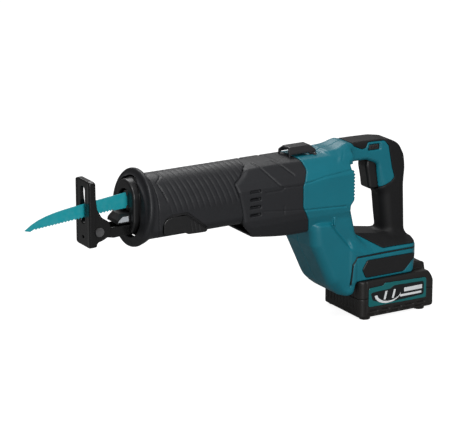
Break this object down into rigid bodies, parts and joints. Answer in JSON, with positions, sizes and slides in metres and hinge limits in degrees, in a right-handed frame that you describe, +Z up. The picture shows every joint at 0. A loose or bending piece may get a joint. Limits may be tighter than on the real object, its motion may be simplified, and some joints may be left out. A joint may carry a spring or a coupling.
{
  "type": "reciprocating saw",
  "caption": "Cordless reciprocating saw with a wood blade in a twist clamp, a tilting shoe, a rubber-covered barrel, a D-shaped grip and a slide-on battery.",
  "frame": {"origin": "middle of the overall box at the level of the battery's feet", "axes": "+X from the blade tip to the battery's rear, +Y across the saw to its user's right as they hold it facing the blade, +Z up"},
  "size_m": [0.547, 0.0932, 0.2272],
  "materials": {
    "blade_paint": "satin coating",
    "black_metal": "black phosphate",
    "steel": "machined",
    "dark_steel": "satin",
    "bronze": "sintered",
    "rubber": "matt",
    "black_plastic": "fine texture",
    "grey_rubber": "fine ribs",
    "lens": "moulded",
    "cast_alloy": "as cast",
    "cast_iron": "machined",
    "magnet": "plated",
    "lamination": "stacked sheets",
    "copper": "enamelled wire",
    "circuit": "solder mask",
    "grey_plastic": "fine texture",
    "teal_plastic": "fine texture",
    "black_rubber": "overmoulded",
    "pack_plastic": "fine texture",
    "cell": "sleeved",
    "brass": "plated",
    "label": "printed"
  },
  "bodies": {
    "root": {"front_bushing": "bronze", "rear_bushing": "bronze", "rod_seal": "rubber", "nose_cap": "black_plastic", "nose_guard": "grey_rubber", "lamp_housing": "black_plastic", "lamp_lens": "lens", "gear_housing": "cast_alloy", "gearbox_lid": "cast_alloy", "bearing_plate": "cast_alloy", "gearbox_screws": "steel", "insulation_boot": "grey_rubber", "upper_crank_bearing": "steel", "lower_crank_bearing": "steel", "front_motor_bearing": "steel", "rear_motor_bearing": "steel", "stator_core": "lamination", "stator_coils": "copper", "sensor_board": "circuit", "gear_cover": "grey_plastic", "housing_left": "teal_plastic", "housing_right": "teal_plastic", "housing_screws": "steel", "grip_cover": "black_rubber", "switch_module": "black_plastic", "controller": "circuit", "terminal_block": "black_plastic", "side_panels": "black_plastic", "hook_pin": "dark_steel", "motor_leads": "rubber"},
    "slider": {"blade": "blade_paint", "clamp_body": "black_metal", "clamp_pin": "steel", "slider_rod": "steel"},
    "sleeve": {"clamp_sleeve": "black_metal"},
    "shoe_holder": {"shoe_holder": "black_metal"},
    "shoe": {"shoe": "black_metal", "shoe_pin": "dark_steel"},
    "lever": {"shoe_lever": "black_plastic", "lever_cam": "steel"},
    "crank": {"crank_gear": "steel", "crank_pin": "steel", "crank_roller": "steel", "counterweight": "cast_iron"},
    "rotor": {"pinion": "steel", "motor_shaft": "steel", "rotor_magnets": "magnet", "fan": "black_plastic"},
    "trigger": {"trigger": "black_plastic"},
    "lock_off": {"lock_off_button": "black_plastic"},
    "hook": {"hanging_hook": "dark_steel"},
    "battery": {"pack_case_lower": "pack_plastic", "pack_case_upper": "pack_plastic", "pack_cells": "cell", "pack_board": "circuit", "pack_terminals": "brass", "pack_labels": "label", "pack_screws": "steel", "pack_button_spring": "steel"},
    "pack_button": {"pack_button": "black_plastic"}
  },
  "joints": [
    {"name": "blade_stroke", "type": "slide", "parent": "root", "child": "slider", "axis": [1, 0, 0], "range_m": [-0.016, 0.016]},
    {"name": "clamp_twist", "type": "hinge", "parent": "slider", "child": "sleeve", "pos_m": [-0.1305, 0, 0.19], "axis": [1, 0, 0], "range_deg": [0, 60], "stiffness_Nm_per_rad": 0.2},
    {"name": "shoe_reach", "type": "slide", "parent": "root", "child": "shoe_holder", "axis": [1, 0, 0], "range_m": [-0.012, 0.015]},
    {"name": "shoe_tilt", "type": "hinge", "parent": "shoe_holder", "child": "shoe", "pos_m": [-0.1865, 0, 0.163], "axis": [0, 1, 0], "range_deg": [-25, 12]},
    {"name": "shoe_lever_turn", "type": "hinge", "parent": "root", "child": "lever", "pos_m": [-0.1025, -0.036, 0.161], "axis": [0, 1, 0], "range_deg": [0, 60]},
    {"name": "crank_turn", "type": "hinge", "parent": "root", "child": "crank", "pos_m": [0.0395, 0, 0.153], "axis": [0, 0, 1], "continuous": true},
    {"name": "rotor_turn", "type": "hinge", "parent": "root", "child": "rotor", "pos_m": [0.1175, 0, 0.171], "axis": [1, 0, 0], "continuous": true},
    {"name": "trigger_pull", "type": "slide", "parent": "root", "child": "trigger", "axis": [1, 0, 0], "range_m": [0, 0.006], "stiffness_N_per_m": 400},
    {"name": "lock_off_push", "type": "slide", "parent": "root", "child": "lock_off", "axis": [0, 1, 0], "range_m": [0, 0.003], "stiffness_N_per_m": 300},
    {"name": "hook_swing", "type": "hinge", "parent": "root", "child": "hook", "pos_m": [0.1085, 0, 0.2155], "axis": [0, 1, 0], "range_deg": [0, 90]},
    {"name": "battery_slide", "type": "slide", "parent": "root", "child": "battery", "axis": [1, 0, 0], "range_m": [0, 0.085]},
    {"name": "battery_release", "type": "slide", "parent": "battery", "child": "pack_button", "axis": [0, 0, -1], "range_m": [0, 0.003], "stiffness_N_per_m": 600, "deforming": ["pack_button_spring"]}
  ],
  "couplings": [
    {"joint": "rotor_turn", "follows": "crank_turn", "ratio": 3.3333}
  ]
}
